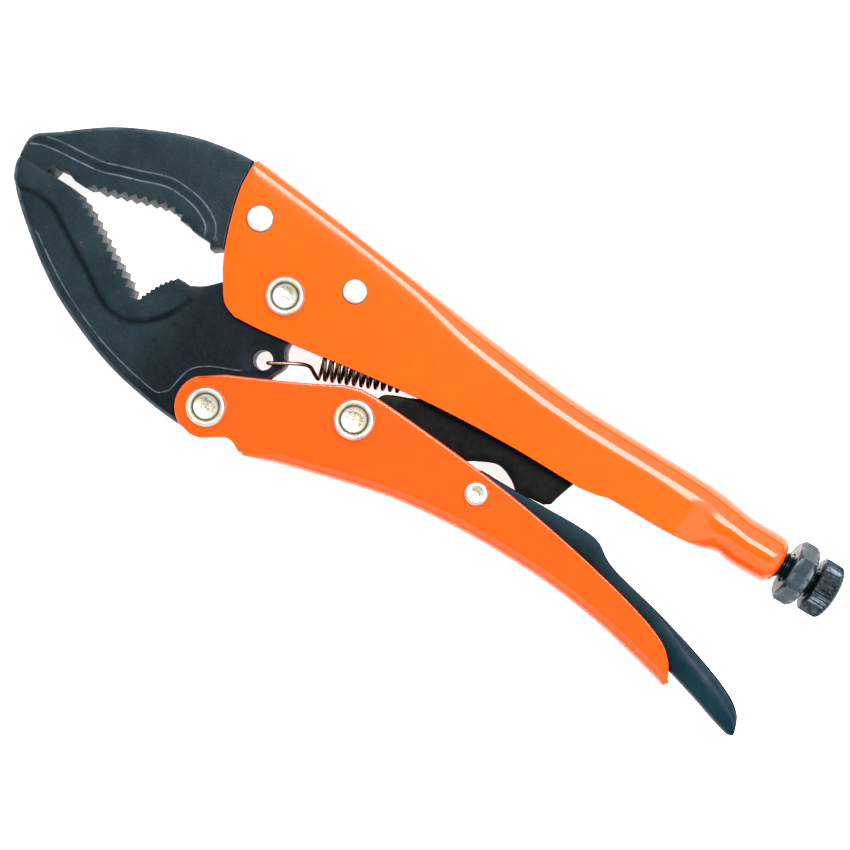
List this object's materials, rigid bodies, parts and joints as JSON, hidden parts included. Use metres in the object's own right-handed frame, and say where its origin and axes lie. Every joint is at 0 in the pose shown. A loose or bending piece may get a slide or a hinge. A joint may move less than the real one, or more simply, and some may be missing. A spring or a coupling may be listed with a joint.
{
  "type": "locking pliers",
  "caption": "Curved-jaw locking pliers: pressed channel handles, forged toothed jaws, toggle link, release lever, jaw spring and adjusting screw with lock nut.",
  "frame": {"origin": "middle of the underside of the box of the tool, shut and lying on one side", "axes": "+X along the adjusting screw from the jaws to the knob, +Y from the lower handle to the upper handle, +Z through the thickness of the tool"},
  "size_m": [0.1866, 0.0544, 0.0158],
  "materials": {
    "orange_enamel": "gloss",
    "forged_steel": "satin",
    "black_steel": "satin",
    "zinc_plate": "bright",
    "dull_steel": "matte",
    "blued_steel": "satin",
    "spring_steel": "satin"
  },
  "bodies": {
    "frame": {"upper_handle": "orange_enamel", "upper_jaw": "forged_steel", "upper_jaw_rivet_front": "dull_steel", "upper_jaw_rivet_rear": "dull_steel", "jaw_pivot_rivet": "zinc_plate", "jaw_spring": "spring_steel"},
    "jaw": {"lower_jaw": "forged_steel"},
    "grip": {"lower_handle": "orange_enamel", "handle_pivot_rivet": "zinc_plate", "link_pivot_rivet": "zinc_plate", "release_lever_rivet": "zinc_plate", "link_spacer_near": "zinc_plate", "link_spacer_far": "zinc_plate"},
    "link": {"toggle_link": "black_steel"},
    "lever": {"release_lever": "black_steel"},
    "screw": {"adjusting_screw": "blued_steel"},
    "knob": {"adjusting_knob": "blued_steel"},
    "nut": {"lock_nut": "blued_steel"}
  },
  "joints": [
    {"name": "jaw_pivot", "type": "hinge", "parent": "frame", "child": "jaw", "pos_m": [-0.03254, 0.00634, 0.0079], "axis": [0, 0, 1], "range_deg": [0, 18], "deforming": ["jaw_spring"]},
    {"name": "handle_pivot", "type": "hinge", "parent": "jaw", "child": "grip", "pos_m": [-0.03474, -0.02076, 0.0079], "axis": [0, 0, 1], "range_deg": [-52.2, 0]},
    {"name": "link_pivot", "type": "hinge", "parent": "grip", "child": "link", "pos_m": [-0.00804, -0.00776, 0.0079], "axis": [0, 0, 1], "range_deg": [0, 57]},
    {"name": "lever_pivot", "type": "hinge", "parent": "grip", "child": "lever", "pos_m": [0.02046, -0.00786, 0.0079], "axis": [0, 0, 1], "range_deg": [-0.8, 7]},
    {"name": "screw_travel", "type": "slide", "parent": "frame", "child": "screw", "axis": [1, 0, 0], "range_m": [0, 0.012]},
    {"name": "knob_turn", "type": "hinge", "parent": "screw", "child": "knob", "pos_m": [0.09246, 0.01164, 0.0079], "axis": [1, 0, 0], "range_deg": [0, 4330]},
    {"name": "nut_travel", "type": "slide", "parent": "frame", "child": "nut", "axis": [1, 0, 0], "range_m": [-0.0016, 0]}
  ],
  "couplings": [
    {"joint": "handle_pivot", "follows": "jaw_pivot", "ratio": -2.892},
    {"joint": "link_pivot", "follows": "jaw_pivot", "ratio": 3.1614},
    {"joint": "knob_turn", "follows": "screw_travel", "rad_per_m": 6283.2}
  ]
}
